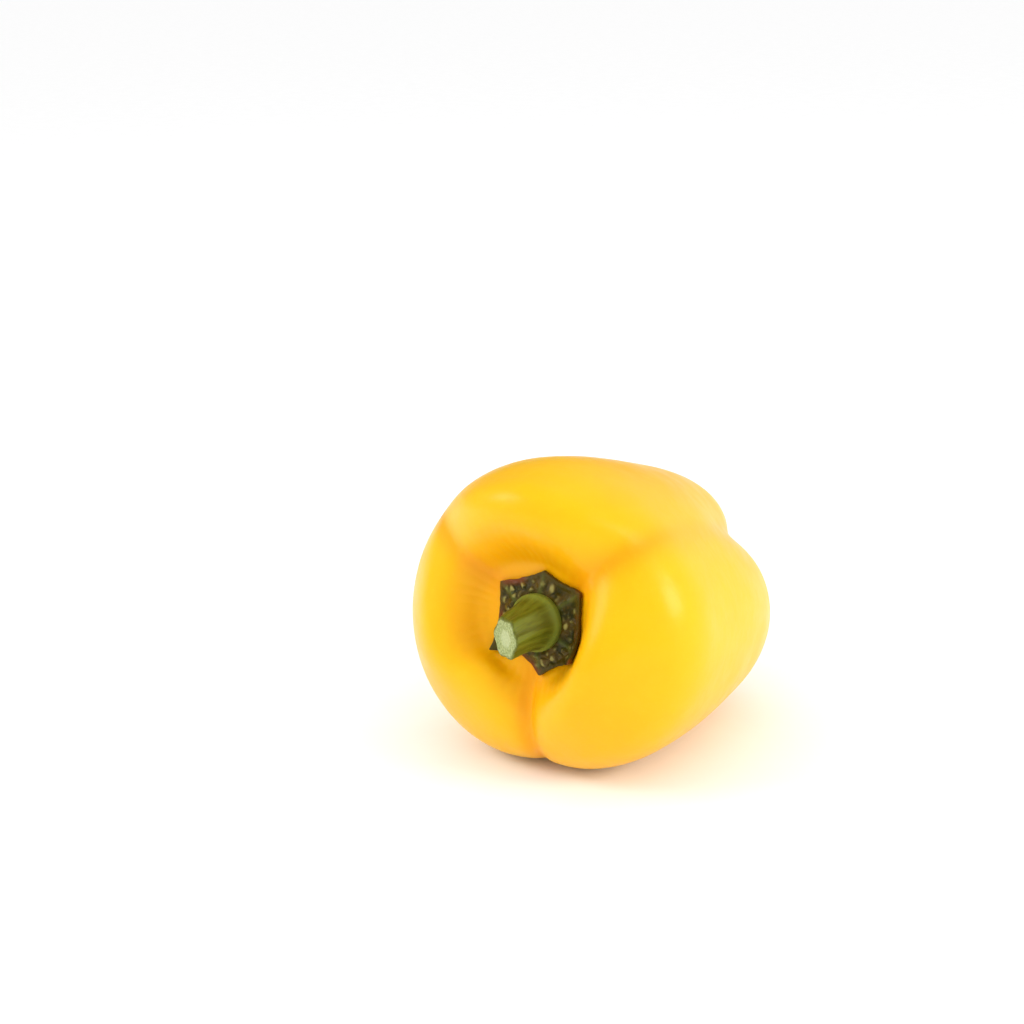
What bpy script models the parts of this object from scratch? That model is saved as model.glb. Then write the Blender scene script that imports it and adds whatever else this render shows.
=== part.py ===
"""A yellow bell pepper with three lobes, lying on two of them with its cut stem towards -Y.

Metres, +Z up. The fruit, the calyx and the stem are first shaped upright, with the stem end at the
top of the fruit's own axis. One empty then lays all three down, with the origin on the ground
under the middle of the whole.
"""
import math

import bmesh
import bpy
import numpy as np
from mathutils import Matrix, Vector
from mathutils.bvhtree import BVHTree

# Each profile runs from the middle of the stem end over the shoulder and down the side to the
# blossom end, as distance from the axis and height
LOBE_PROFILE = (
    (0.0, 0.0820), (0.0073, 0.0820), (0.0141, 0.0827), (0.0190, 0.0874), (0.0273, 0.0918),
    (0.0383, 0.0880), (0.0451, 0.0764), (0.0455, 0.0612), (0.0434, 0.0426), (0.0393, 0.0231),
    (0.0319, 0.0075), (0.0215, -0.0006), (0.0095, 0.0014), (0.0, 0.0040),
)
GROOVE_PROFILE = (
    (0.0, 0.0820), (0.0073, 0.0819), (0.0141, 0.0819), (0.0189, 0.0827), (0.0257, 0.0839),
    (0.0345, 0.0810), (0.0401, 0.0723), (0.0402, 0.0598), (0.0374, 0.0426), (0.0326, 0.0256),
    (0.0252, 0.0130), (0.0156, 0.0066), (0.0074, 0.0046), (0.0, 0.0040),
)

# The lobes in order round the axis: the top one and the two that the fruit lies on
LOBE_COUNT = 3
GROOVE_ANGLES = (math.radians(37.3), math.radians(145.2), math.radians(276.8))
GROOVE_TWISTS = (math.radians(7.7), math.radians(-2.6), math.radians(-14.9))
LOBE_GIRTHS = (0.906, 1.006, 0.997)
FOOT_REACHES = (0.0085, 0.0035, 0.0060)
GROOVE_SHARE = 0.7
FOOT_BLUNTNESS = 0.15
GROOVE_SHARPNESS = 0.06
SIDE_SOFTNESS = 0.22

# How each lobe and groove differs over the shoulder and at the rim round the calyx
SHOULDER_RISES = (0.0050, -0.0058, -0.0035)
RIM_RISES = (0.0000, 0.0045, 0.0053)
RIM_GIRTHS = (1.08, 0.94, 0.89)
GROOVE_RISES = (0.0030, 0.0040, 0.0)
GROOVE_GIRTHS = (1.01, 1.04, 1.00)
GROOVE_SOFTNESSES = (0.28, 0.20, 0.0)

# A bulge that the lobe on the lower left has towards the calyx: where it is between two grooves
BULGE_PLACE = 1.72
BULGE_WIDTH = 0.18
BULGE_REACH = 0.0043

# Where each feature comes in and where it fades, as parts of the way from stem end to blossom end
SIDE = ((0.28, 0.45), (0.62, 0.85))
BELLY = ((0.10, 0.35), (0.80, 1.00))
SHOULDER = ((0.09, 0.18), (0.25, 0.50))
RIM = ((0.10, 0.18), (0.20, 0.30))
BULGE = ((0.08, 0.17), (0.20, 0.34))
FOOT = ((0.45, 0.80), (0.90, 1.00))
BLUNTING = (0.50, 0.75)
TWIST_CENTRE = 0.1

# Slow swells of the sides: how high, how far out they begin, and each wave's run and phase
UNEVENNESS = 0.0002
UNEVEN_FROM = (0.020, 0.036)
UNEVEN_WAVES = (((80.0, 40.0, 90.0), 1.3), ((-60.0, 95.0, 70.0), 2.1), ((50.0, -70.0, 110.0), 4.0))

# Steps of the fruit's mesh
FRUIT_COLUMNS = 84
FRUIT_RINGS = 50

# How the fruit lies: how far its stem end tips up, and how much of it is pressed flat
PITCH = math.radians(10.7)
FLAT_DEPTH = 0.0006

# Calyx: the green cap under the stem, with its teeth as angle and reach from its own middle
GAP = 0.0003
CALYX_GAP = 0.0004
CALYX_MIDDLE = (0.0026, -0.0007)
CALYX_TEETH = (
    (math.radians(39), 0.0161), (math.radians(88), 0.0139), (math.radians(146), 0.0157),
    (math.radians(216), 0.0169), (math.radians(277), 0.0143), (math.radians(335), 0.0172),
)
CALYX_HOLLOWS = (0.05, 0.04, 0.06, 0.20, 0.05, 0.06)
CALYX_EDGE = 0.0012
CALYX_ROUNDING = 0.35
SEAT_HEIGHT = 0.0845
SEAT_RADIUS = 0.0084
SEAT_SLOPE = 0.0036
CALYX_COLUMNS = 72
CALYX_RINGS = 16

# Stem: a short stub with a flared foot, six low ribs and a slanting cut
STEM_LENGTH = 0.0127
STEM_LEAN = (-0.0011, -0.0029)
STEM_FLARE_RADIUS = 0.0078
STEM_RADIUS = 0.0055
STEM_CUT_RADIUS = 0.0052
STEM_FLARE_LENGTH = 0.0045
STEM_RIB_DEPTH = 0.00035
STEM_CUT_SLOPE = 0.55
STEM_CUT_TURN = math.radians(15)
STEM_SIDES = 48
STEM_CUTS = 8
STEM_SHARP_ANGLE = math.radians(50)
CUTTER_SIZE = 0.3


def ease(x, low, high):
    """Smooth step from 0 at low to 1 at high."""
    t = np.clip((x - low) / (high - low), 0.0, 1.0)
    return t * t * (3.0 - 2.0 * t)


def band(x, rise, fall):
    """1 between the rise and the fall, smoothly down to 0 beyond them."""
    return ease(x, *rise) * (1.0 - ease(x, *fall))


def bell(x, width):
    """1 at 0, falling off smoothly within about the width on both sides."""
    return np.exp(-(x / width) ** 2)


def spacing(points):
    """Where each point stands along the line through them, from 0 to 1."""
    steps = np.hypot(*np.diff(np.array(points), axis=0).T)
    along = np.concatenate(([0.0], np.cumsum(steps)))
    return along / along[-1]


def curve(points, knots, at):
    """Cubic curve through the points, leaving and meeting the axis level."""
    points = np.array(points)
    gaps = np.diff(knots)[:, None]
    slopes = np.diff(points, axis=0) / gaps
    level = np.array((1.0, 0.0))
    count = len(points)
    system = np.zeros((count, count))
    sides = np.zeros((count, 2))
    system[0, :2] = 2.0 * gaps[0, 0], gaps[0, 0]
    sides[0] = 6.0 * (slopes[0] - slopes[0] * level)
    system[-1, -2:] = gaps[-1, 0], 2.0 * gaps[-1, 0]
    sides[-1] = 6.0 * (slopes[-1] * level - slopes[-1])
    for i in range(1, count - 1):
        before, after = gaps[i - 1, 0], gaps[i, 0]
        system[i, i - 1:i + 2] = before, 2.0 * (before + after), after
        sides[i] = 6.0 * (slopes[i] - slopes[i - 1])
    bend = np.linalg.solve(system, sides)
    i = np.clip(np.searchsorted(knots, at, side="right") - 1, 0, count - 2)
    past = (at - knots[i])[:, None]
    left = (knots[i + 1] - at)[:, None]
    gap = gaps[i]
    arch = (bend[i] * left ** 3 + bend[i + 1] * past ** 3) / (6.0 * gap)
    fall = (points[i] / gap - bend[i] * gap / 6.0) * left
    climb = (points[i + 1] / gap - bend[i + 1] * gap / 6.0) * past
    return arch + fall + climb


def groove_angle(groove, along):
    """Angle of a groove round the axis; each groove twists a little on its way down."""
    return np.array(GROOVE_ANGLES)[groove] + np.array(GROOVE_TWISTS)[groove] * (along - TWIST_CENTRE)


def between(values, groove, across):
    """One value for each groove, blended from a groove to the following one."""
    values = np.array(values)
    return values[groove] * (1.0 - across) + values[(groove + 1) % LOBE_COUNT] * across


def skin(along, around):
    """Points of the upright fruit's skin.

    along runs from 0 at the stem end to 1 at the blossom end; around runs from 0 to 3, and
    every whole number is a groove with a lobe between it and the next.
    """
    lobe = np.floor(around).astype(int) % LOBE_COUNT
    following = (lobe + 1) % LOBE_COUNT
    across = around - np.floor(around)
    start = groove_angle(lobe, along)
    stop = groove_angle(following, along)
    angle = start + (stop - start) % (2.0 * math.pi) * across

    shoulder = band(along, *SHOULDER)
    groove_softness = between(GROOVE_SOFTNESSES, lobe, across)
    softness = GROOVE_SHARPNESS + SIDE_SOFTNESS * band(along, *SIDE) + groove_softness * shoulder
    dome = np.sqrt((1.0 - (2.0 * across - 1.0) ** 2) ** 2 + softness ** 2) - softness
    swell = dome / (np.sqrt(1.0 + softness ** 2) - softness)
    swell = swell ** (1.0 - FOOT_BLUNTNESS * ease(along, *BLUNTING))

    knots = spacing(LOBE_PROFILE)
    crest = curve(LOBE_PROFILE, knots, along)
    valley = curve(GROOVE_PROFILE, knots, along)
    foot = band(along, *FOOT)
    reaches = np.array(FOOT_REACHES)
    groove_reaches = GROOVE_SHARE * (reaches + np.roll(reaches, 1)) / 2.0
    groove_reach = between(groove_reaches, lobe, across)
    groove_rise = between(GROOVE_RISES, lobe, across)
    groove_girth = between(GROOVE_GIRTHS, lobe, across)

    rim = band(along, *RIM)
    girth = (np.array(LOBE_GIRTHS)[lobe] - 1.0) * band(along, *BELLY)
    girth += (np.array(RIM_GIRTHS)[lobe] - 1.0) * rim
    crest_radius = crest[:, 0] * (1.0 + girth)
    crest_rise = np.array(SHOULDER_RISES)[lobe] * shoulder + np.array(RIM_RISES)[lobe] * rim
    crest_height = crest[:, 1] + crest_rise - reaches[lobe] * foot
    valley_height = valley[:, 1] + groove_rise * shoulder - groove_reach * foot
    valley_radius = valley[:, 0] * (1.0 + (groove_girth - 1.0) * shoulder)
    radius = valley_radius + swell * (crest_radius - valley_radius)
    height = valley_height + swell * (crest_height - valley_height)
    radius -= BULGE_REACH * bell(around - BULGE_PLACE, BULGE_WIDTH) * band(along, *BULGE)
    return np.stack((radius * np.cos(angle), radius * np.sin(angle), height), -1)


def uneven(points):
    """Slow swells that keep the sides from looking turned; they fade out at the stem end."""
    x, y, z = points.T
    girth = np.hypot(x, y)
    waves = sum(np.sin(points @ np.array(run) + phase) for run, phase in UNEVEN_WAVES)
    stretch = 1.0 + UNEVENNESS * waves * ease(girth, *UNEVEN_FROM) / girth.clip(UNEVEN_FROM[0])
    return np.stack((x * stretch, y * stretch, z), -1)


def make_object(name, mesh, material, collection, parent):
    """Put a finished bmesh in the scene as one named piece."""
    data = bpy.data.meshes.new(name)
    mesh.to_mesh(data)
    mesh.free()
    data.materials.append(material)
    piece = bpy.data.objects.new(name, data)
    collection.objects.link(piece)
    piece.parent = parent
    return piece


def make_material(name, colour, roughness):
    material = bpy.data.materials.new(name)
    material.use_nodes = True
    material.diffuse_color = (*colour, 1.0)
    shader = material.node_tree.nodes["Principled BSDF"]
    shader.inputs["Base Color"].default_value = (*colour, 1.0)
    shader.inputs["Roughness"].default_value = roughness
    shader.inputs["Metallic"].default_value = 0.0
    return material


def fruit_mesh():
    """The fruit: a sphere of rings and columns moved onto the skin, a column in every groove."""
    mesh = bmesh.new()
    bmesh.ops.create_uvsphere(mesh, u_segments=FRUIT_COLUMNS, v_segments=FRUIT_RINGS, radius=1.0)
    ball = np.array([vertex.co for vertex in mesh.verts])
    along = np.arccos(ball[:, 2].clip(-1.0, 1.0)) / math.pi
    turn = np.arctan2(ball[:, 1], ball[:, 0]) / (2.0 * math.pi) % 1.0
    column = np.round(turn * FRUIT_COLUMNS) % FRUIT_COLUMNS
    points = uneven(skin(along, column * LOBE_COUNT / FRUIT_COLUMNS))
    for vertex, point in zip(mesh.verts, points):
        vertex.co = point
    bmesh.ops.triangulate(mesh, faces=mesh.faces)
    return mesh


def calyx_reach(angle):
    """Distance from the calyx's middle to its edge, which runs from tooth to tooth, a little hollow."""
    for tooth, (first, first_reach) in enumerate(CALYX_TEETH):
        second, second_reach = CALYX_TEETH[(tooth + 1) % len(CALYX_TEETH)]
        width = (second - first) % (2.0 * math.pi)
        past = (angle - first) % (2.0 * math.pi)
        if past < width:
            leverage = first_reach * math.sin(past) + second_reach * math.sin(width - past)
            straight = first_reach * second_reach * math.sin(width) / leverage
            return straight * (1.0 - CALYX_HOLLOWS[tooth] * math.sin(math.pi * past / width))


def calyx_mesh(fruit_tree):
    """The calyx: a flat sphere whose lower half follows the skin and whose top has the stem's seat."""
    mesh = bmesh.new()
    bmesh.ops.create_uvsphere(mesh, u_segments=CALYX_COLUMNS, v_segments=CALYX_RINGS, radius=1.0)
    for vertex in mesh.verts:
        ball = vertex.co.copy()
        angle = math.atan2(ball.y, ball.x)
        reach = calyx_reach(angle) * min(1.0, math.hypot(ball.x, ball.y))
        x = CALYX_MIDDLE[0] + reach * math.cos(angle)
        y = CALYX_MIDDLE[1] + reach * math.sin(angle)
        hit, normal, _, _ = fruit_tree.ray_cast(Vector((x, y, 1.0)), Vector((0.0, 0.0, -1.0)))
        under = hit.z + CALYX_GAP / normal.z
        seat = 1.0 - float(ease(reach, SEAT_RADIUS, SEAT_RADIUS + SEAT_SLOPE))
        over = under + CALYX_EDGE / normal.z
        over += (SEAT_HEIGHT - over) * seat
        side = math.copysign(abs(ball.z) ** CALYX_ROUNDING, ball.z)
        vertex.co = (x, y, under + (over - under) * (1.0 + side) / 2.0)
    return mesh


def stem_mesh():
    """The stem: a cylinder with rings, flared onto the calyx, ribbed, leaning and cut at a slant."""
    mesh = bmesh.new()
    bmesh.ops.create_cone(mesh, cap_ends=True, segments=STEM_SIDES, radius1=1.0, radius2=1.0, depth=1.0)
    upright = [edge for edge in mesh.edges if abs(edge.verts[0].co.z - edge.verts[1].co.z) > 0.5]
    bmesh.ops.subdivide_edges(mesh, edges=upright, cuts=STEM_CUTS)
    for vertex in mesh.verts:
        along = vertex.co.z + 0.5
        angle = math.atan2(vertex.co.y, vertex.co.x)
        flare = math.exp(-along * STEM_LENGTH / STEM_FLARE_LENGTH)
        radius = STEM_RADIUS + (STEM_CUT_RADIUS - STEM_RADIUS) * along ** 3
        radius += (STEM_FLARE_RADIUS - STEM_RADIUS) * flare
        radius += STEM_RIB_DEPTH * math.cos(len(CALYX_TEETH) * angle) * (1.0 - flare)
        x = radius * math.cos(angle)
        y = radius * math.sin(angle)
        slant = STEM_CUT_SLOPE * (x * math.cos(STEM_CUT_TURN) + y * math.sin(STEM_CUT_TURN)) * along ** 2
        lean = along ** 1.5
        vertex.co = (
            CALYX_MIDDLE[0] + x + STEM_LEAN[0] * lean,
            CALYX_MIDDLE[1] + y + STEM_LEAN[1] * lean,
            SEAT_HEIGHT + GAP + STEM_LENGTH * along + slant,
        )
    return mesh


def lay_down(frame, pieces):
    """Tip the pieces onto their side and put the whole over the origin, the flats just below it."""
    tip = Matrix.Rotation(math.pi / 2.0 - PITCH, 4, "X")
    corners = np.array([tip @ vertex.co for piece in pieces for vertex in piece.data.vertices])
    low, high = corners.min(axis=0), corners.max(axis=0)
    frame.rotation_euler.x = math.pi / 2.0 - PITCH
    frame.location = (-(low[0] + high[0]) / 2.0, -(low[1] + high[1]) / 2.0, -low[2] - FLAT_DEPTH)


def press_flat(fruit, cutters):
    """Cut away what the fruit's own weight presses flat against the ground."""
    mesh = bmesh.new()
    bmesh.ops.create_cube(mesh, size=CUTTER_SIZE)
    data = bpy.data.meshes.new("ground_cutter")
    mesh.to_mesh(data)
    mesh.free()
    ground = bpy.data.objects.new("ground_cutter", data)
    ground.location.z = -CUTTER_SIZE / 2.0
    ground.display_type = "WIRE"
    ground.hide_render = True
    cutters.objects.link(ground)
    cut = fruit.modifiers.new("pressed_flat", "BOOLEAN")
    cut.operation = "DIFFERENCE"
    cut.solver = "EXACT"
    cut.object = ground


def main():
    for old in list(bpy.data.objects):
        bpy.data.objects.remove(old, do_unlink=True)
    pepper = bpy.data.collections.new("bell_pepper")
    cutters = bpy.data.collections.new("cutters")
    bpy.context.scene.collection.children.link(pepper)
    bpy.context.scene.collection.children.link(cutters)
    frame = bpy.data.objects.new("bell_pepper_axis", None)
    pepper.objects.link(frame)

    yellow = make_material("fruit_skin", (0.95, 0.58, 0.02), 0.25)
    dark_green = make_material("calyx_green", (0.09, 0.10, 0.03), 0.45)
    green = make_material("stem_green", (0.20, 0.26, 0.05), 0.5)

    skin_mesh = fruit_mesh()
    fruit_tree = BVHTree.FromBMesh(skin_mesh)
    fruit = make_object("fruit", skin_mesh, yellow, pepper, frame)
    calyx = make_object("calyx", calyx_mesh(fruit_tree), dark_green, pepper, frame)
    stem = make_object("stem", stem_mesh(), green, pepper, frame)
    for piece in (fruit, calyx, stem):
        piece.data.shade_smooth()
    stem.data.set_sharp_from_angle(angle=STEM_SHARP_ANGLE)
    lay_down(frame, (fruit, calyx, stem))
    press_flat(fruit, cutters)


main()
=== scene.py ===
"""The finished look of a yellow bell pepper that lies on its side.

Metres, +Z up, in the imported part's own frame. The fruit, its calyx and its stem are shaped upright,
with the stem end at the top of the fruit's axis, by the same formulas as the part but on finer
meshes. Then they are laid down and fitted to the part's own box.
"""
import math

import bmesh
import bpy
import numpy as np
from mathutils import Matrix, Quaternion, Vector, noise
from mathutils.bvhtree import BVHTree


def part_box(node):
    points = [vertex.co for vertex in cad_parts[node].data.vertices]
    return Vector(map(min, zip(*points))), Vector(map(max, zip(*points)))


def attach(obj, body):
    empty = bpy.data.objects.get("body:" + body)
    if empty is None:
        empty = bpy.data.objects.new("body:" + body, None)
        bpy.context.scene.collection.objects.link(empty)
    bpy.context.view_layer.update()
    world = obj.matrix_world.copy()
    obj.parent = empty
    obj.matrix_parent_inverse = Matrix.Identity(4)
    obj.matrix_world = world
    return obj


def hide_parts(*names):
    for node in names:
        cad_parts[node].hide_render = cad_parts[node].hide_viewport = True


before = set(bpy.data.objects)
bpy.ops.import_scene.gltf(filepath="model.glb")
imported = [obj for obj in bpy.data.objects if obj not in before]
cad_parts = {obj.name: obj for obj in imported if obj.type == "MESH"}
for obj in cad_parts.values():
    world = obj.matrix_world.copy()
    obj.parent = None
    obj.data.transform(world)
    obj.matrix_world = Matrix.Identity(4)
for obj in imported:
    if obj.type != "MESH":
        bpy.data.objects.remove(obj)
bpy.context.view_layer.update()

# Each profile runs from the middle of the stem end over the shoulder and down the side to the
# blossom end, as distance from the axis and height
LOBE_PROFILE = (
    (0.0, 0.0820), (0.0073, 0.0820), (0.0141, 0.0827), (0.0190, 0.0874), (0.0273, 0.0918),
    (0.0383, 0.0880), (0.0451, 0.0764), (0.0455, 0.0612), (0.0434, 0.0426), (0.0393, 0.0231),
    (0.0319, 0.0075), (0.0215, -0.0006), (0.0095, 0.0014), (0.0, 0.0040),
)
GROOVE_PROFILE = (
    (0.0, 0.0820), (0.0073, 0.0819), (0.0141, 0.0819), (0.0189, 0.0827), (0.0257, 0.0839),
    (0.0345, 0.0810), (0.0401, 0.0723), (0.0402, 0.0598), (0.0374, 0.0426), (0.0326, 0.0256),
    (0.0252, 0.0130), (0.0156, 0.0066), (0.0074, 0.0046), (0.0, 0.0040),
)

# The lobes in order round the axis: the top one and the two that the fruit lies on
LOBE_COUNT = 3
GROOVE_ANGLES = (math.radians(37.3), math.radians(145.2), math.radians(276.8))
GROOVE_TWISTS = (math.radians(7.7), math.radians(-2.6), math.radians(-14.9))
LOBE_GIRTHS = (0.906, 1.006, 0.997)
FOOT_REACHES = (0.0085, 0.0035, 0.0060)
GROOVE_SHARE = 0.7
FOOT_BLUNTNESS = 0.15
GROOVE_SHARPNESS = 0.06
SIDE_SOFTNESS = 0.22

# How each lobe and groove differs over the shoulder and at the rim round the calyx
SHOULDER_RISES = (0.0050, -0.0058, -0.0035)
RIM_RISES = (0.0000, 0.0045, 0.0053)
RIM_GIRTHS = (1.08, 0.94, 0.89)
GROOVE_RISES = (0.0030, 0.0040, 0.0)
GROOVE_GIRTHS = (1.01, 1.04, 1.00)
GROOVE_SOFTNESSES = (0.28, 0.20, 0.0)

# A bulge that the lobe on the lower left has towards the calyx: where it is between two grooves
BULGE_PLACE = 1.72
BULGE_WIDTH = 0.18
BULGE_REACH = 0.0043

# Where each feature comes in and where it fades, as parts of the way from stem end to blossom end
SIDE = ((0.28, 0.45), (0.62, 0.85))
BELLY = ((0.10, 0.35), (0.80, 1.00))
SHOULDER = ((0.09, 0.18), (0.25, 0.50))
RIM = ((0.10, 0.18), (0.20, 0.30))
BULGE = ((0.08, 0.17), (0.20, 0.34))
FOOT = ((0.45, 0.80), (0.90, 1.00))
BLUNTING = (0.50, 0.75)
TWIST_CENTRE = 0.1

# Slow swells of the sides: how high, how far out they begin, and each wave's run and phase
UNEVENNESS = 0.0002
UNEVEN_FROM = (0.020, 0.036)
UNEVEN_WAVES = (((80.0, 40.0, 90.0), 1.3), ((-60.0, 95.0, 70.0), 2.1), ((50.0, -70.0, 110.0), 4.0))

# Steps of the fruit's mesh, with its rings crowded towards both ends
FRUIT_COLUMNS = 300
FRUIT_RINGS = 240
RING_CROWDING = 0.6

# Fine relief of the fruit: dents as size and depth, a narrow crease along the middle of a groove as
# one depth for each, pleats round the calyx, and the blossom scar
DENTS = ((0.030, 0.00030), (0.011, 0.00007))
CREASE_DEPTHS = (0.0001, 0.0, 0.0008)
CREASE_WIDTH = 0.0022
CREASE = ((0.12, 0.18), (0.30, 0.42))
PLEAT_COUNT = 46
PLEAT_DEPTH = 0.00004
PLEATS = ((0.07, 0.10), (0.13, 0.21))
PLEAT_WANDER = 2.0
PLEAT_WANDER_SIZE = 0.006
BLOSSOM_END = (0.8, 0.9)
SCAR_RADIUS = 0.0017
SCAR_DEPTH = 0.0010
SCAR_DEPTH_WIDTH = 0.0034
SCAR_NUB = 0.0014
SCAR_NUB_WIDTH = 0.00102

# Where the skin is painted orange as painted shade: across each groove, less so down the sides, and in
# the hollow round the calyx; and how far its pattern of streaks is squeezed along the axis, so that they
# run lengthwise
GROOVE_SHADE_WIDTH = 0.0035
GROOVE_SHADE_FADE = 0.6
RECESS_EDGE = (0.10, 0.20)
STREAK_SQUEEZE = 0.22

# How the fruit lies: how far its stem end tips up, and how much of it is pressed flat
PITCH = math.radians(10.7)
FLAT_DEPTH = 0.0006

# Calyx: the green cap under the stem, with its teeth as angle and reach from its own middle
CALYX_SINK = 0.0001
CALYX_MIDDLE = (0.0026, -0.0007)
CALYX_TEETH = (
    (math.radians(39), 0.0161), (math.radians(88), 0.0139), (math.radians(146), 0.0157),
    (math.radians(216), 0.0169), (math.radians(277), 0.0143), (math.radians(335), 0.0172),
)
CALYX_HOLLOWS = (0.05, 0.04, 0.06, 0.20, 0.05, 0.06)
CALYX_THICKNESS = 0.0015
CALYX_ROUNDING = 0.35
SEAT_HEIGHT = 0.0845
SEAT_RADIUS = 0.0084
SEAT_SLOPE = 0.0036
CALYX_COLUMNS = 288
CALYX_RINGS = 132

# The calyx's own relief: blisters between the veins, a vein to each tooth, and a ragged curled rim
BLISTER_SIZE = 0.0024
BLISTER_HEIGHT = 0.00050
BLISTER_EDGE = (0.02, 0.42)
BLISTERS = ((0.0076, 0.0090), (0.86, 0.98))
VEIN_HEIGHT = 0.00035
VEIN_WIDTH = 0.0007
RIM_RAGGEDNESS = 0.00025
RIM_RAGS = 7.0
RIM_CURL = 0.00035
RIM_CURL_PLACE = ((0.86, 0.95), (0.99, 1.001))
RIM_TINT = (0.80, 0.97)

# Stem: a short stub with a flared foot, six low ribs and a slanting cut
STEM_LENGTH = 0.0127
STEM_LEAN = (-0.0011, -0.0029)
STEM_FLARE_RADIUS = 0.0078
STEM_RADIUS = 0.0055
STEM_CUT_RADIUS = 0.0052
STEM_FLARE_LENGTH = 0.0045
STEM_RIB_DEPTH = 0.00035
STEM_CUT_SLOPE = 0.55
STEM_CUT_TURN = math.radians(15)
STEM_SINK = 0.0002
STEM_SIDES = 144
STEM_CUTS = 44
STEM_GAP = 0.0003

# The stem's own relief: fine strings down its side, a ring at its foot, and the rings of its cut face
STRING_DEPTH = 0.00010
STRING_SIZE = 0.0007
STRING_SQUEEZE = 0.35
COLLAR_HEIGHT = 0.0012
COLLAR_SWELL = 0.0004
COLLAR_WIDTH = 0.0007
COLLAR_TINT_WIDTH = 0.0016
CUT_RINGS = 14
CUT_RIM_STEP = (0.76, 0.84)
CUT_RIM_ROUNDING = 0.00045
CUT_ROUNDED_FROM = (0.90, 0.95)
CUT_STEP = 0.00018
CUT_TINT = (0.86, 0.97)
PITH_EDGE = (0.27, 0.52)
PITH_TINT = (0.32, 0.52)
PITH_DEPTH = 0.00030
CUT_ROUGHNESS = 0.00012
CUT_ROUGH_SIZE = 0.0006
CUT_ROUGH_FADE = (0.7, 1.0)

# Colours; a pair is the two ends that a finish varies between
SKIN_YELLOWS = ((0.88, 0.475, 0.002), (0.87, 0.447, 0.001))
STREAK_YELLOW = (0.90, 0.505, 0.008)
DOT_YELLOW = (0.92, 0.60, 0.05)
# Painted shade: the orange of the shaded hollow round the calyx and of the shaded grooves
RECESS_SHADE_ORANGE = (0.94, 0.41, 0.0)
GROOVE_SHADE_ORANGE = (0.84, 0.31, 0.0)
SCAR_BROWN = (0.16, 0.09, 0.03)
CALYX_GREENS = ((0.028, 0.026, 0.0005), (0.085, 0.052, 0.002))
# Painted highlight: the pale green of the blister tops
BLISTER_HIGHLIGHT_GREEN = (0.30, 0.27, 0.07)
VEIN_GREEN = (0.10, 0.13, 0.02)
RIM_BROWNS = ((0.070, 0.050, 0.004), (0.17, 0.035, 0.006))
STEM_GREENS = ((0.085, 0.092, 0.002), (0.135, 0.155, 0.008))
# Partly its own paler green and partly painted light on the flare of the stem's foot
COLLAR_PALE_AND_LIT_GREEN = (0.20, 0.25, 0.03)
CUT_GREENS = ((0.21, 0.25, 0.07), (0.40, 0.45, 0.19))
PITH_GREEN = (0.50, 0.54, 0.29)
PAPER_WHITES = ((0.965, 0.965, 0.965), (0.955, 0.955, 0.955))

# Camera: the photograph's direction, distance and lens, and the pixel where the aimed point shows
IMAGE_SIZE = 1024
SENSOR_WIDTH = 36.0
LENS = 70.0
AZIMUTH = math.radians(30.5)
ELEVATION = math.radians(20.16)
CAMERA_DISTANCE = 0.5605
AIM = (0.0002, 0.0012, 0.0345)
AIM_PIXEL = (606.7, 608.9)

FLOOR_SIZE = 30.0

# Light: the even white all round; how bright the room is where the skin mirrors it, with one bright
# side as azimuth and elevation; and each softbox as azimuth and elevation in degrees, distance,
# width and height in metres, and brightness next to a white sheet's 1
WORLD_LIGHT = 1.04
ROOM_LIGHT = 0.12
BRIGHT_SIDE = (math.radians(135), math.radians(10))
BRIGHT_SPREAD = (0.2, 0.9)
LEFT_SOFTBOX = (-50.0, 33.0, 0.9, 0.42, 0.36, 5.5)
RIGHT_SOFTBOX = (97.0, 25.0, 0.9, 0.38, 0.36, 8.5)


def ease(x, low, high):
    """Smooth step from 0 at low to 1 at high."""
    t = np.clip((x - low) / (high - low), 0.0, 1.0)
    return t * t * (3.0 - 2.0 * t)


def band(x, rise, fall):
    """1 between the rise and the fall, smoothly down to 0 beyond them."""
    return ease(x, *rise) * (1.0 - ease(x, *fall))


def bell(x, width):
    """1 at 0, falling off smoothly within about the width on both sides."""
    return np.exp(-(x / width) ** 2)


def spacing(points):
    """Where each point stands along the line through them, from 0 to 1."""
    steps = np.hypot(*np.diff(np.array(points), axis=0).T)
    along = np.concatenate(([0.0], np.cumsum(steps)))
    return along / along[-1]


def curve(points, knots, at):
    """Cubic curve through the points, leaving and meeting the axis level."""
    points = np.array(points)
    gaps = np.diff(knots)[:, None]
    slopes = np.diff(points, axis=0) / gaps
    level = np.array((1.0, 0.0))
    count = len(points)
    system = np.zeros((count, count))
    sides = np.zeros((count, 2))
    system[0, :2] = 2.0 * gaps[0, 0], gaps[0, 0]
    sides[0] = 6.0 * (slopes[0] - slopes[0] * level)
    system[-1, -2:] = gaps[-1, 0], 2.0 * gaps[-1, 0]
    sides[-1] = 6.0 * (slopes[-1] * level - slopes[-1])
    for i in range(1, count - 1):
        before, after = gaps[i - 1, 0], gaps[i, 0]
        system[i, i - 1:i + 2] = before, 2.0 * (before + after), after
        sides[i] = 6.0 * (slopes[i] - slopes[i - 1])
    bend = np.linalg.solve(system, sides)
    i = np.clip(np.searchsorted(knots, at, side="right") - 1, 0, count - 2)
    past = (at - knots[i])[:, None]
    left = (knots[i + 1] - at)[:, None]
    gap = gaps[i]
    arch = (bend[i] * left ** 3 + bend[i + 1] * past ** 3) / (6.0 * gap)
    fall = (points[i] / gap - bend[i] * gap / 6.0) * left
    climb = (points[i + 1] / gap - bend[i + 1] * gap / 6.0) * past
    return arch + fall + climb


def groove_angle(groove, along):
    """Angle of a groove round the axis; each groove twists a little on its way down."""
    return np.array(GROOVE_ANGLES)[groove] + np.array(GROOVE_TWISTS)[groove] * (along - TWIST_CENTRE)


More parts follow.
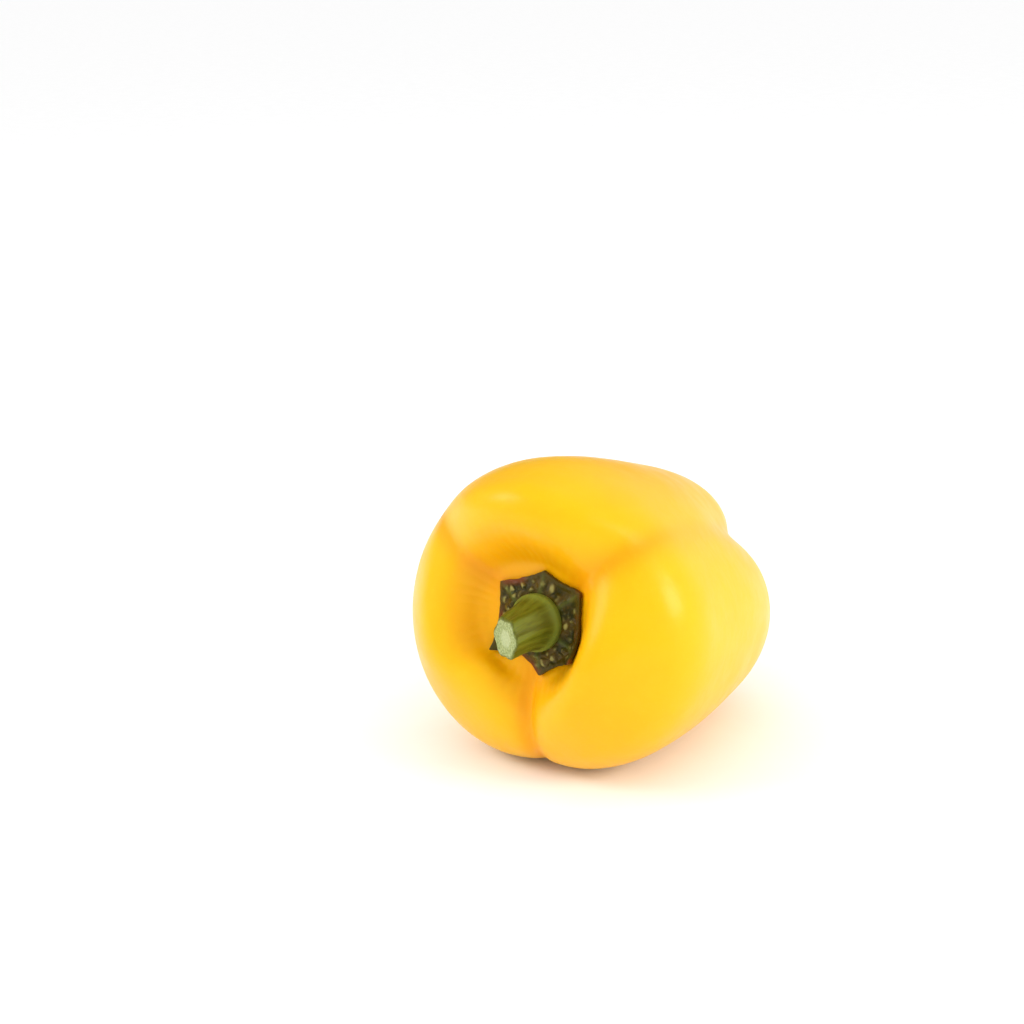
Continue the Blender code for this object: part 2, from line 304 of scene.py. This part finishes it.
def between(values, groove, across):
    """One value for each groove, blended from a groove to the following one."""
    values = np.array(values)
    return values[groove] * (1.0 - across) + values[(groove + 1) % LOBE_COUNT] * across


def skin(along, around):
    """Points of the upright fruit's skin.

    along runs from 0 at the stem end to 1 at the blossom end; around runs from 0 to 3, and
    every whole number is a groove with a lobe between it and the next.
    """
    lobe = np.floor(around).astype(int) % LOBE_COUNT
    following = (lobe + 1) % LOBE_COUNT
    across = around - np.floor(around)
    start = groove_angle(lobe, along)
    stop = groove_angle(following, along)
    angle = start + (stop - start) % (2.0 * math.pi) * across

    shoulder = band(along, *SHOULDER)
    groove_softness = between(GROOVE_SOFTNESSES, lobe, across)
    softness = GROOVE_SHARPNESS + SIDE_SOFTNESS * band(along, *SIDE) + groove_softness * shoulder
    dome = np.sqrt((1.0 - (2.0 * across - 1.0) ** 2) ** 2 + softness ** 2) - softness
    swell = dome / (np.sqrt(1.0 + softness ** 2) - softness)
    swell = swell ** (1.0 - FOOT_BLUNTNESS * ease(along, *BLUNTING))

    knots = spacing(LOBE_PROFILE)
    crest = curve(LOBE_PROFILE, knots, along)
    valley = curve(GROOVE_PROFILE, knots, along)
    foot = band(along, *FOOT)
    reaches = np.array(FOOT_REACHES)
    groove_reaches = GROOVE_SHARE * (reaches + np.roll(reaches, 1)) / 2.0
    groove_reach = between(groove_reaches, lobe, across)
    groove_rise = between(GROOVE_RISES, lobe, across)
    groove_girth = between(GROOVE_GIRTHS, lobe, across)

    rim = band(along, *RIM)
    girth = (np.array(LOBE_GIRTHS)[lobe] - 1.0) * band(along, *BELLY)
    girth += (np.array(RIM_GIRTHS)[lobe] - 1.0) * rim
    crest_radius = crest[:, 0] * (1.0 + girth)
    crest_rise = np.array(SHOULDER_RISES)[lobe] * shoulder + np.array(RIM_RISES)[lobe] * rim
    crest_height = crest[:, 1] + crest_rise - reaches[lobe] * foot
    valley_height = valley[:, 1] + groove_rise * shoulder - groove_reach * foot
    valley_radius = valley[:, 0] * (1.0 + (groove_girth - 1.0) * shoulder)
    radius = valley_radius + swell * (crest_radius - valley_radius)
    height = valley_height + swell * (crest_height - valley_height)
    radius -= BULGE_REACH * bell(around - BULGE_PLACE, BULGE_WIDTH) * band(along, *BULGE)
    return np.stack((radius * np.cos(angle), radius * np.sin(angle), height), -1)


def uneven(points):
    """Slow swells that keep the sides from looking turned; they fade out at the stem end."""
    x, y, z = points.T
    girth = np.hypot(x, y)
    waves = sum(np.sin(points @ np.array(run) + phase) for run, phase in UNEVEN_WAVES)
    stretch = 1.0 + UNEVENNESS * waves * ease(girth, *UNEVEN_FROM) / girth.clip(UNEVEN_FROM[0])
    return np.stack((x * stretch, y * stretch, z), -1)


def read_points(piece):
    """The places of a mesh's vertices, one row each."""
    points = np.zeros(len(piece.data.vertices) * 3, np.float32)
    piece.data.vertices.foreach_get("co", points)
    return points.reshape(-1, 3).astype(float)


def read_normals(piece):
    normals = np.zeros(len(piece.data.vertices) * 3, np.float32)
    piece.data.vertex_normals.foreach_get("vector", normals)
    return normals.reshape(-1, 3).astype(float)


def write_points(piece, points):
    piece.data.vertices.foreach_set("co", points.astype(np.float32).ravel())
    piece.data.update()


def write_attribute(piece, name, values):
    """Store one number or one vector for every vertex, for the materials to read."""
    kind = "FLOAT" if values.ndim == 1 else "FLOAT_VECTOR"
    attribute = piece.data.attributes.new(name, kind, "POINT")
    field = "value" if values.ndim == 1 else "vector"
    attribute.data.foreach_set(field, values.astype(np.float32).ravel())


def noise_at(points, size, seed):
    """Smooth noise from about -1 to 1, with features of about the size given."""
    offset = Vector((seed, -seed, seed))
    return np.array([noise.noise(Vector(point) / size + offset) for point in points])


def add_ball(name, columns, rings):
    """A unit sphere, to be shaped."""
    bpy.ops.object.select_all(action="DESELECT")
    bpy.ops.mesh.primitive_uv_sphere_add(segments=columns, ring_count=rings, radius=1.0)
    ball = bpy.context.active_object
    ball.name = name
    ball.data.name = name
    return ball


def make_fruit():
    """The fruit, upright: a ball moved onto the skin, with dents, creases, pleats and blossom scar."""
    fruit = add_ball("pepper_fruit", FRUIT_COLUMNS, FRUIT_RINGS)
    ball = read_points(fruit)
    ring = np.arccos(ball[:, 2].clip(-1.0, 1.0)) / math.pi
    along = ring - RING_CROWDING * np.sin(2.0 * math.pi * ring) / (2.0 * math.pi)
    turn = np.arctan2(ball[:, 1], ball[:, 0]) / (2.0 * math.pi) % 1.0
    around = np.round(turn * FRUIT_COLUMNS) % FRUIT_COLUMNS * LOBE_COUNT / FRUIT_COLUMNS
    points = uneven(skin(along, around))
    write_points(fruit, points)

    girth = np.hypot(points[:, 0], points[:, 1])
    angle = np.arctan2(points[:, 1], points[:, 0])
    lift = sum(depth * noise_at(points, size, seed) for seed, (size, depth) in enumerate(DENTS))
    lift *= ease(girth, *UNEVEN_FROM)
    across = around - np.floor(around)
    nearest = np.round(around).astype(int) % LOBE_COUNT
    from_groove = np.minimum(across, 1.0 - across) * 2.0 * math.pi / LOBE_COUNT * girth
    crease = bell(from_groove, CREASE_WIDTH) * band(along, *CREASE)
    lift -= np.array(CREASE_DEPTHS)[nearest] * crease
    pleat = np.sin(PLEAT_COUNT * angle + PLEAT_WANDER * noise_at(points, PLEAT_WANDER_SIZE, seed=5.0))
    lift += PLEAT_DEPTH * pleat * band(along, *PLEATS)
    blossom_end = ease(along, *BLOSSOM_END)
    nub = SCAR_NUB * bell(girth, SCAR_NUB_WIDTH) - SCAR_DEPTH * bell(girth, SCAR_DEPTH_WIDTH)
    points += read_normals(fruit) * lift[:, None]
    points[:, 2] -= blossom_end * nub
    write_points(fruit, points)

    # Masks of the painted shade: orange along the grooves and in the hollow round the calyx
    groove = bell(from_groove, GROOVE_SHADE_WIDTH) * (1.0 - GROOVE_SHADE_FADE * band(along, *SIDE))
    write_attribute(fruit, "groove", groove)
    write_attribute(fruit, "recess_shade", 1.0 - ease(along, *RECESS_EDGE))
    write_attribute(fruit, "scar", blossom_end * bell(girth, SCAR_RADIUS))
    write_attribute(fruit, "grain", points * np.array((1.0, 1.0, STREAK_SQUEEZE)))
    return fruit


def calyx_reach(angle):
    """Distance from the calyx's middle to its edge, which runs from tooth to tooth, a little hollow."""
    for tooth, (first, first_reach) in enumerate(CALYX_TEETH):
        second, second_reach = CALYX_TEETH[(tooth + 1) % len(CALYX_TEETH)]
        width = (second - first) % (2.0 * math.pi)
        past = (angle - first) % (2.0 * math.pi)
        if past < width:
            leverage = first_reach * math.sin(past) + second_reach * math.sin(width - past)
            straight = first_reach * second_reach * math.sin(width) / leverage
            return straight * (1.0 - CALYX_HOLLOWS[tooth] * math.sin(math.pi * past / width))


def nearest_vein(angle, reach):
    """Distance across to the middle of the nearest tooth's vein."""
    turns = [abs((angle - tooth + math.pi) % (2.0 * math.pi) - math.pi) for tooth, _ in CALYX_TEETH]
    return reach * math.sin(min(min(turns), math.pi / 2.0))


def make_calyx(fruit):
    """The calyx, upright: a flat ball that follows the skin, blistered between its veins."""
    skin_tree = BVHTree.FromPolygons(
        [vertex.co for vertex in fruit.data.vertices],
        [polygon.vertices for polygon in fruit.data.polygons],
    )
    calyx = add_ball("pepper_calyx", CALYX_COLUMNS, CALYX_RINGS)
    ball = read_points(calyx)
    angles = np.arctan2(ball[:, 1], ball[:, 0])
    shares = np.hypot(ball[:, 0], ball[:, 1]).clip(0.0, 1.0)
    points = np.zeros_like(ball)
    blisters = np.zeros(len(ball))
    veins = np.zeros(len(ball))
    for i, (angle, share) in enumerate(zip(angles, shares)):
        edge = calyx_reach(angle)
        ragged = noise.noise(Vector((math.cos(angle), math.sin(angle), 0.0)) * RIM_RAGS)
        reach = (edge + RIM_RAGGEDNESS * ragged) * share
        x = CALYX_MIDDLE[0] + reach * math.cos(angle)
        y = CALYX_MIDDLE[1] + reach * math.sin(angle)
        hit, normal, _, _ = skin_tree.ray_cast(Vector((x, y, 1.0)), Vector((0.0, 0.0, -1.0)))
        under = hit.z - CALYX_SINK
        seat = 1.0 - float(ease(reach, SEAT_RADIUS, SEAT_RADIUS + SEAT_SLOPE))
        over = hit.z + CALYX_THICKNESS / normal.z
        over += (SEAT_HEIGHT - over) * seat
        cells, _ = noise.voronoi(Vector((x, y, 0.0)) / BLISTER_SIZE)
        on_blister = float(ease(cells[1] - cells[0], *BLISTER_EDGE))
        reaching = float(ease(reach, *BLISTERS[0]) * (1.0 - ease(share, *BLISTERS[1])))
        on_vein = float(bell(nearest_vein(angle, reach), VEIN_WIDTH))
        blisters[i] = on_blister * reaching
        veins[i] = on_vein
        side = math.copysign(abs(ball[i, 2]) ** CALYX_ROUNDING, ball[i, 2])
        z = under + (over - under) * (1.0 + side) / 2.0
        if ball[i, 2] > 0.0:
            z += reaching * max(BLISTER_HEIGHT * on_blister, VEIN_HEIGHT * on_vein)
            z += RIM_CURL * float(band(share, *RIM_CURL_PLACE))
        points[i] = x, y, z
    write_points(calyx, points)
    write_attribute(calyx, "blister", blisters)
    write_attribute(calyx, "vein", veins)
    write_attribute(calyx, "rim", ease(shares, *RIM_TINT))
    return calyx


def select_faces(piece, wanted):
    """In edit mode, select only the faces for which wanted is true."""
    bpy.ops.mesh.select_mode(type="FACE")
    bpy.ops.mesh.select_all(action="DESELECT")
    mesh = bmesh.from_edit_mesh(piece.data)
    for face in mesh.faces:
        face.select = wanted(face)
    mesh.select_flush_mode()
    bmesh.update_edit_mesh(piece.data)


def make_stem_blank():
    """A cylinder one high and one in radius, with rings up its side and on its cut face."""
    bpy.ops.object.select_all(action="DESELECT")
    bpy.ops.mesh.primitive_cylinder_add(vertices=STEM_SIDES, radius=1.0, depth=1.0)
    stem = bpy.context.active_object
    stem.name = "pepper_stem"
    stem.data.name = "pepper_stem"
    bpy.ops.object.mode_set(mode="EDIT")
    bpy.ops.mesh.select_mode(type="EDGE")
    bpy.ops.mesh.select_all(action="DESELECT")
    mesh = bmesh.from_edit_mesh(stem.data)
    for edge in mesh.edges:
        edge.select = abs(edge.verts[0].co.z - edge.verts[1].co.z) > 0.5
    bmesh.update_edit_mesh(stem.data)
    bpy.ops.mesh.subdivide(number_cuts=STEM_CUTS)
    select_faces(stem, lambda face: len(face.verts) == STEM_SIDES and face.normal.z > 0.5)
    for _ in range(CUT_RINGS):
        bpy.ops.mesh.inset(thickness=1.0 / (CUT_RINGS + 1), depth=0.0)
    bpy.ops.mesh.poke()
    bpy.ops.object.mode_set(mode="OBJECT")
    return stem


def make_stem():
    """The stem, upright: flared onto the calyx, ribbed and stringy, leaning and cut at a slant."""
    stem = make_stem_blank()
    blank = read_points(stem)
    angle = np.arctan2(blank[:, 1], blank[:, 0])
    share = np.hypot(blank[:, 0], blank[:, 1]).clip(0.0, 1.0)
    along = blank[:, 2] + 0.5
    height = along * STEM_LENGTH
    flare = np.exp(-height / STEM_FLARE_LENGTH)
    radius = STEM_RADIUS + (STEM_CUT_RADIUS - STEM_RADIUS) * along ** 3
    radius += (STEM_FLARE_RADIUS - STEM_RADIUS) * flare
    radius += STEM_RIB_DEPTH * np.cos(len(CALYX_TEETH) * angle) * (1.0 - flare)
    radius += COLLAR_SWELL * bell(height - COLLAR_HEIGHT, COLLAR_WIDTH)
    grain = np.stack((np.cos(angle), np.sin(angle), along * STRING_SQUEEZE), -1) * STEM_RADIUS
    strings = noise_at(grain, STRING_SIZE, seed=3.0)
    radius += STRING_DEPTH * strings * ease(height, 0.0, COLLAR_HEIGHT)

    on_cut = along > 0.9999
    flesh = grain * np.array((1.0, 1.0, 0.0)) * share[:, None]
    rough = noise_at(flesh, CUT_ROUGH_SIZE, seed=9.0)
    face_lift = CUT_ROUGHNESS * rough * (1.0 - ease(share, *CUT_ROUGH_FADE))
    face_lift -= CUT_STEP * (1.0 - ease(share, *CUT_RIM_STEP))
    face_lift -= PITH_DEPTH * (1.0 - ease(share, *PITH_EDGE))
    face_lift -= CUT_RIM_ROUNDING * ease(share, CUT_ROUNDED_FROM[0], 1.0) ** 2
    side_lift = -CUT_RIM_ROUNDING * ease(along, CUT_ROUNDED_FROM[1], 1.0)
    lift = np.where(on_cut, face_lift, side_lift)

    x = radius * share * np.cos(angle)
    y = radius * share * np.sin(angle)
    slant = STEM_CUT_SLOPE * (x * math.cos(STEM_CUT_TURN) + y * math.sin(STEM_CUT_TURN)) * along ** 2
    lean = along ** 1.5
    points = np.stack((
        CALYX_MIDDLE[0] + x + STEM_LEAN[0] * lean,
        CALYX_MIDDLE[1] + y + STEM_LEAN[1] * lean,
        SEAT_HEIGHT + STEM_GAP + height + slant + lift - (STEM_GAP + STEM_SINK) * (1.0 - along) ** 4,
    ), -1)
    write_points(stem, points)
    write_attribute(stem, "grain", np.where(on_cut[:, None], flesh, grain))
    write_attribute(stem, "cut", on_cut * (1.0 - ease(share, *CUT_TINT)))
    write_attribute(stem, "pith", on_cut * (1.0 - ease(share, *PITH_TINT)))
    write_attribute(stem, "collar", bell(height - COLLAR_HEIGHT, COLLAR_TINT_WIDTH) * (1.0 - on_cut))
    return stem


def lay_down(pieces, fruit):
    """Tip the pieces onto their side and fit the fruit, and the rest with it, to the part's own box."""
    tip = np.array(Matrix.Rotation(math.pi / 2.0 - PITCH, 3, "X"))
    laid = read_points(fruit) @ tip.T
    low, high = laid.min(axis=0), laid.max(axis=0)
    box_low, box_high = (np.array(corner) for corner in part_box("fruit"))
    box_low[2] = -FLAT_DEPTH
    fit = (box_high - box_low) / (high - low)
    for piece in pieces:
        write_points(piece, (read_points(piece) @ tip.T - low) * fit + box_low)


def press_flat(fruit):
    """Cut away what the fruit's own weight presses flat against the ground."""
    bpy.ops.object.select_all(action="DESELECT")
    fruit.select_set(True)
    bpy.context.view_layer.objects.active = fruit
    bpy.ops.object.mode_set(mode="EDIT")
    bpy.ops.mesh.select_all(action="SELECT")
    bpy.ops.mesh.bisect(
        plane_co=(0.0, 0.0, 0.0), plane_no=(0.0, 0.0, 1.0), use_fill=True, clear_inner=True, threshold=1e-6,
    )
    bpy.ops.object.mode_set(mode="OBJECT")


def shade_smooth(piece):
    bpy.ops.object.select_all(action="DESELECT")
    piece.select_set(True)
    bpy.context.view_layer.objects.active = piece
    bpy.ops.object.shade_smooth()


def add_node(tree, kind, values=None, **settings):
    """Add a shader node with its settings, and set or connect its inputs."""
    made = tree.nodes.new("ShaderNode" + kind)
    for name, setting in settings.items():
        setattr(made, name, setting)
    for name, value in (values or {}).items():
        if isinstance(value, bpy.types.NodeSocket):
            tree.links.new(value, made.inputs[name])
        else:
            made.inputs[name].default_value = value
    return made


def mix_colours(tree, share, first, second):
    """A colour between the first, at share 0, and the second, at share 1."""
    made = tree.nodes.new("ShaderNodeMix")
    made.data_type = "RGBA"
    share_socket, first_socket, second_socket = made.inputs[0], made.inputs[6], made.inputs[7]
    for socket, value in ((share_socket, share), (first_socket, first), (second_socket, second)):
        if isinstance(value, bpy.types.NodeSocket):
            tree.links.new(value, socket)
        elif isinstance(value, tuple):
            socket.default_value = (*value, 1.0)
        else:
            socket.default_value = value
    return made.outputs[2]


def calculate(tree, operation, first, second=0.0, limit=False):
    made = add_node(tree, "Math", {0: first, 1: second}, operation=operation, use_clamp=limit)
    return made.outputs[0]


def attribute(tree, name):
    return add_node(tree, "Attribute", attribute_name=name)


def tint(tree, colour, towards, mask, strength):
    """The colour, turned towards another where the mask is 1, by the strength given."""
    share = calculate(tree, "MULTIPLY", mask, strength)
    return mix_colours(tree, share, colour, towards)


def make_mottle_group():
    """Shared by all the materials: soft patches from 0 to 1, and the noise that they come from."""
    group = bpy.data.node_groups.new("plant_mottle", "ShaderNodeTree")
    group.interface.new_socket("Place", in_out="INPUT", socket_type="NodeSocketVector")
    for name in ("Patches per metre", "Detail", "Patches from", "Patches full"):
        group.interface.new_socket(name, in_out="INPUT", socket_type="NodeSocketFloat")
    group.interface.new_socket("Patches", in_out="OUTPUT", socket_type="NodeSocketFloat")
    group.interface.new_socket("Noise", in_out="OUTPUT", socket_type="NodeSocketFloat")
    inputs = group.nodes.new("NodeGroupInput").outputs
    outputs = group.nodes.new("NodeGroupOutput").inputs
    cloud = add_node(group, "TexNoise", {
        "Vector": inputs["Place"], "Scale": inputs["Patches per metre"], "Detail": inputs["Detail"],
    })
    patches = add_node(group, "MapRange", {
        "Value": cloud.outputs[0], "From Min": inputs["Patches from"], "From Max": inputs["Patches full"],
    }, interpolation_type="SMOOTHSTEP")
    group.links.new(patches.outputs["Result"], outputs["Patches"])
    group.links.new(cloud.outputs[0], outputs["Noise"])
    return group


def mottle(tree, group, place, per_metre, detail=2.0, low=0.4, high=0.6):
    made = tree.nodes.new("ShaderNodeGroup")
    made.node_tree = group
    tree.links.new(place, made.inputs["Place"])
    made.inputs["Patches per metre"].default_value = per_metre
    made.inputs["Detail"].default_value = detail
    made.inputs["Patches from"].default_value = low
    made.inputs["Patches full"].default_value = high
    return made


def new_material(name):
    material = bpy.data.materials.new(name)
    material.use_nodes = True
    return material, material.node_tree, material.node_tree.nodes["Principled BSDF"]


def skin_material(group):
    """Waxy yellow skin: painted orange shade in its hollow and grooves, faintly streaked and speckled."""
    material, tree, shader = new_material("waxy_yellow_skin")
    here = add_node(tree, "TexCoord").outputs["Object"]
    grain = attribute(tree, "grain").outputs["Vector"]
    patches = mottle(tree, group, here, per_metre=32.0, detail=2.0, low=0.35, high=0.65)
    streaks = mottle(tree, group, grain, per_metre=260.0, detail=3.0, low=0.45, high=0.75)
    colour = mix_colours(tree, patches.outputs["Patches"], *SKIN_YELLOWS)
    colour = tint(tree, colour, STREAK_YELLOW, streaks.outputs["Patches"], strength=0.18)
    # Painted shade: orange in the hollow round the calyx and along the grooves
    colour = tint(tree, colour, RECESS_SHADE_ORANGE, attribute(tree, "recess_shade").outputs["Fac"], strength=0.75)
    colour = tint(tree, colour, GROOVE_SHADE_ORANGE, attribute(tree, "groove").outputs["Fac"], strength=0.65)
    dots = add_node(tree, "TexVoronoi", {"Vector": here, "Scale": 900.0})
    dot = add_node(tree, "MapRange", {
        "Value": dots.outputs["Distance"], "From Min": 0.28, "From Max": 0.08,
    })
    colour = tint(tree, colour, DOT_YELLOW, dot.outputs["Result"], strength=0.10)
    colour = mix_colours(tree, attribute(tree, "scar").outputs["Fac"], colour, SCAR_BROWN)
    tree.links.new(colour, shader.inputs["Base Color"])

    wax = mottle(tree, group, here, per_metre=140.0, detail=3.0, low=0.3, high=0.7)
    gloss = add_node(tree, "MapRange", {"Value": wax.outputs["Patches"], "To Min": 0.29, "To Max": 0.37})
    tree.links.new(gloss.outputs["Result"], shader.inputs["Roughness"])
    ripple = mottle(tree, group, here, per_metre=420.0, detail=2.0)
    bump = add_node(tree, "Bump", {"Height": ripple.outputs["Noise"], "Strength": 0.10, "Distance": 0.0006})
    tree.links.new(bump.outputs["Normal"], shader.inputs["Normal"])
    shader.inputs["Subsurface Weight"].default_value = 0.25
    shader.inputs["Subsurface Radius"].default_value = (1.0, 0.45, 0.02)
    shader.inputs["Subsurface Scale"].default_value = 0.003
    shader.inputs["Specular IOR Level"].default_value = 0.3
    shader.inputs["Specular Tint"].default_value = (1.0, 0.95, 0.7, 1.0)
    return material


def calyx_material(group):
    """Dark, leathery green, brownish between its blisters, with pale green painted highlights on the
    blister tops, and reddish at the rim.
    """
    material, tree, shader = new_material("leathery_calyx")
    here = add_node(tree, "TexCoord").outputs["Object"]
    patches = mottle(tree, group, here, per_metre=300.0, detail=3.0, low=0.35, high=0.65)
    colour = mix_colours(tree, patches.outputs["Patches"], *CALYX_GREENS)
    # Painted highlight: the blister tops turn pale green in scattered patches, as where glossy bumps catch
    # light
    tops = calculate(tree, "POWER", attribute(tree, "blister").outputs["Fac"], 2.5)
    bright = mottle(tree, group, here, per_metre=420.0, detail=2.0, low=0.42, high=0.58)
    pale = calculate(tree, "MULTIPLY", tops, bright.outputs["Patches"])
    colour = mix_colours(tree, pale, colour, BLISTER_HIGHLIGHT_GREEN)
    colour = tint(tree, colour, VEIN_GREEN, attribute(tree, "vein").outputs["Fac"], strength=0.5)
    reddish = mottle(tree, group, here, per_metre=130.0, detail=1.0, low=0.42, high=0.62)
    edge = mix_colours(tree, reddish.outputs["Patches"], *RIM_BROWNS)
    colour = tint(tree, colour, edge, attribute(tree, "rim").outputs["Fac"], strength=0.8)
    tree.links.new(colour, shader.inputs["Base Color"])
    gloss = add_node(tree, "MapRange", {"Value": bright.outputs["Noise"], "To Min": 0.25, "To Max": 0.55})
    tree.links.new(gloss.outputs["Result"], shader.inputs["Roughness"])
    grit = mottle(tree, group, here, per_metre=1400.0, detail=3.0)
    bump = add_node(tree, "Bump", {"Height": grit.outputs["Noise"], "Strength": 0.5, "Distance": 0.0003})
    tree.links.new(bump.outputs["Normal"], shader.inputs["Normal"])
    shader.inputs["Specular IOR Level"].default_value = 0.2
    return material


def stem_material(group):
    """Olive green, streaked along its strings, pale at the foot, partly its own colour and partly painted
    light on the flare, with a whitish, fibrous cut face.
    """
    material, tree, shader = new_material("cut_green_stem")
    grain = attribute(tree, "grain").outputs["Vector"]
    streaks = mottle(tree, group, grain, per_metre=900.0, detail=3.0, low=0.35, high=0.65)
    colour = mix_colours(tree, streaks.outputs["Patches"], *STEM_GREENS)
    # Pale ring at the foot: partly its own paler green, partly painted light on the flare
    colour = tint(tree, colour, COLLAR_PALE_AND_LIT_GREEN, attribute(tree, "collar").outputs["Fac"], strength=0.75)
    flesh = mottle(tree, group, grain, per_metre=1700.0, detail=4.0, low=0.35, high=0.65)
    inside = mix_colours(tree, flesh.outputs["Patches"], *CUT_GREENS)
    inside = tint(tree, inside, PITH_GREEN, attribute(tree, "pith").outputs["Fac"], strength=0.6)
    colour = mix_colours(tree, attribute(tree, "cut").outputs["Fac"], colour, inside)
    tree.links.new(colour, shader.inputs["Base Color"])
    gloss = add_node(tree, "MapRange", {"Value": streaks.outputs["Noise"], "To Min": 0.35, "To Max": 0.60})
    tree.links.new(gloss.outputs["Result"], shader.inputs["Roughness"])
    bump = add_node(tree, "Bump", {"Height": flesh.outputs["Noise"], "Strength": 0.4, "Distance": 0.0003})
    tree.links.new(bump.outputs["Normal"], shader.inputs["Normal"])
    shader.inputs["Specular IOR Level"].default_value = 0.25
    return material


def floor_material(group):
    """Matt white paper."""
    material, tree, shader = new_material("white_paper")
    here = add_node(tree, "TexCoord").outputs["Object"]
    fibre = mottle(tree, group, here, per_metre=60.0, detail=3.0)
    colour = mix_colours(tree, fibre.outputs["Patches"], *PAPER_WHITES)
    tree.links.new(colour, shader.inputs["Base Color"])
    shader.inputs["Roughness"].default_value = 0.9
    shader.inputs["Specular IOR Level"].default_value = 0.1
    return material


def dress(piece, material, node):
    """Give a finished piece its material, and hide the part's node that it stands for."""
    shade_smooth(piece)
    piece.data.materials.clear()
    piece.data.materials.append(material)
    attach(piece, "root")
    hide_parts(node)


def make_floor(material):
    bpy.ops.object.select_all(action="DESELECT")
    bpy.ops.mesh.primitive_plane_add(size=FLOOR_SIZE)
    floor = bpy.context.active_object
    floor.name = "studio_floor"
    floor.data.materials.append(material)


def direction(azimuth, elevation):
    """From the pepper towards a camera or light; azimuth 0 is on the -Y side, 90 on the +X side."""
    return Vector((
        math.sin(azimuth) * math.cos(elevation),
        -math.cos(azimuth) * math.cos(elevation),
        math.sin(elevation),
    ))


def make_camera():
    """The photograph's camera, turned so that the aimed point shows at its pixel."""
    camera = bpy.data.objects.new("camera", bpy.data.cameras.new("camera"))
    bpy.context.scene.collection.objects.link(camera)
    camera.data.lens = LENS
    camera.data.sensor_width = SENSOR_WIDTH
    camera.data.clip_start = 0.01
    back = direction(AZIMUTH, ELEVATION)
    camera.location = Vector(AIM) + back * CAMERA_DISTANCE
    half = IMAGE_SIZE / 2.0
    pixel = SENSOR_WIDTH / IMAGE_SIZE
    turn = math.atan((AIM_PIXEL[0] - half) * pixel / LENS)
    tilt = math.atan((AIM_PIXEL[1] - half) * pixel / LENS)
    camera.rotation_mode = "QUATERNION"
    look = (-back).to_track_quat("-Z", "Y")
    sideways = Quaternion((0.0, 1.0, 0.0), turn)
    upwards = Quaternion((1.0, 0.0, 0.0), tilt)
    camera.rotation_quaternion = look @ sideways @ upwards
    bpy.context.scene.camera = camera


def make_softbox(name, azimuth, elevation, distance, width, height, brightness):
    """A soft rectangular light that faces the pepper."""
    lamp = bpy.data.lights.new(name, "AREA")
    lamp.shape = "RECTANGLE"
    lamp.size = width
    lamp.size_y = height
    lamp.energy = brightness * math.pi * width * height
    light = bpy.data.objects.new(name, lamp)
    bpy.context.scene.collection.objects.link(light)
    away = direction(math.radians(azimuth), math.radians(elevation))
    light.location = Vector(AIM) + away * distance
    light.rotation_mode = "QUATERNION"
    light.rotation_quaternion = (-away).to_track_quat("-Z", "Y")


def light_studio():
    """Even white light all round, mirrored as a dim room with one bright side, and two softboxes."""
    world = bpy.data.worlds.new("white_studio")
    world.use_nodes = True
    tree = world.node_tree
    background = tree.nodes["Background"]
    background.inputs["Color"].default_value = (1.0, 1.0, 1.0, 1.0)
    sky = add_node(tree, "TexCoord").outputs["Generated"]
    facing = add_node(tree, "VectorMath", {0: sky, 1: direction(*BRIGHT_SIDE)}, operation="DOT_PRODUCT")
    room = add_node(tree, "MapRange", {
        "Value": facing.outputs["Value"], "From Min": BRIGHT_SPREAD[0], "From Max": BRIGHT_SPREAD[1],
        "To Min": ROOM_LIGHT, "To Max": WORLD_LIGHT,
    }, interpolation_type="SMOOTHSTEP")
    glossy = add_node(tree, "LightPath").outputs["Is Glossy Ray"]
    strength = add_node(tree, "Mix", {0: glossy, 2: WORLD_LIGHT, 3: room.outputs["Result"]})
    tree.links.new(strength.outputs[0], background.inputs["Strength"])
    bpy.context.scene.world = world
    make_softbox("left_softbox", *LEFT_SOFTBOX)
    make_softbox("right_softbox", *RIGHT_SOFTBOX)
    bpy.context.scene.view_settings.view_transform = "Standard"


def main():
    fruit = make_fruit()
    calyx = make_calyx(fruit)
    stem = make_stem()
    lay_down((calyx, stem, fruit), fruit)
    press_flat(fruit)
    mottle_group = make_mottle_group()
    dress(fruit, skin_material(mottle_group), "fruit")
    dress(calyx, calyx_material(mottle_group), "calyx")
    dress(stem, stem_material(mottle_group), "stem")
    make_floor(floor_material(mottle_group))
    make_camera()
    light_studio()


main()
